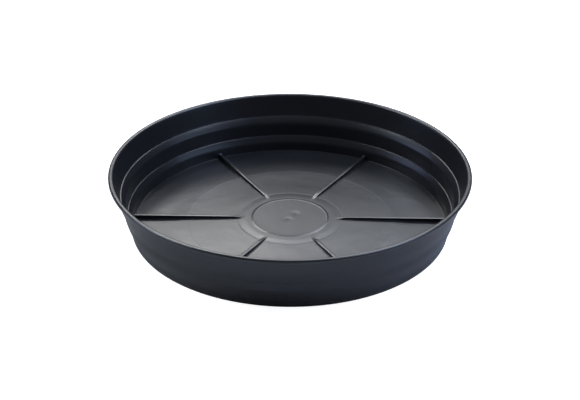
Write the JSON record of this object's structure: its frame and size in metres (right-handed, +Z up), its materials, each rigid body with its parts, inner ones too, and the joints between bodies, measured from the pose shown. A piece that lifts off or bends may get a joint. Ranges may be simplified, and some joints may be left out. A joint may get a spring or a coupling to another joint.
{
  "type": "plant pot saucer",
  "caption": "Deep round plant pot saucer moulded in one piece, with a stepped flared wall, a rolled rim, a crowned floor and radial drainage ribs.",
  "frame": {"origin": "centre of the foot ring's flat underside, on the saucer's axis, where it stands", "axes": "+Z up along the saucer's axis; one drainage rib runs out one degree clockwise of +X, seen from above"},
  "size_m": [0.35, 0.35, 0.06],
  "materials": {
    "black_plastic": "satin black moulded polypropylene"
  },
  "bodies": {
    "root": {"saucer": "black_plastic"}
  },
  "joints": []
}
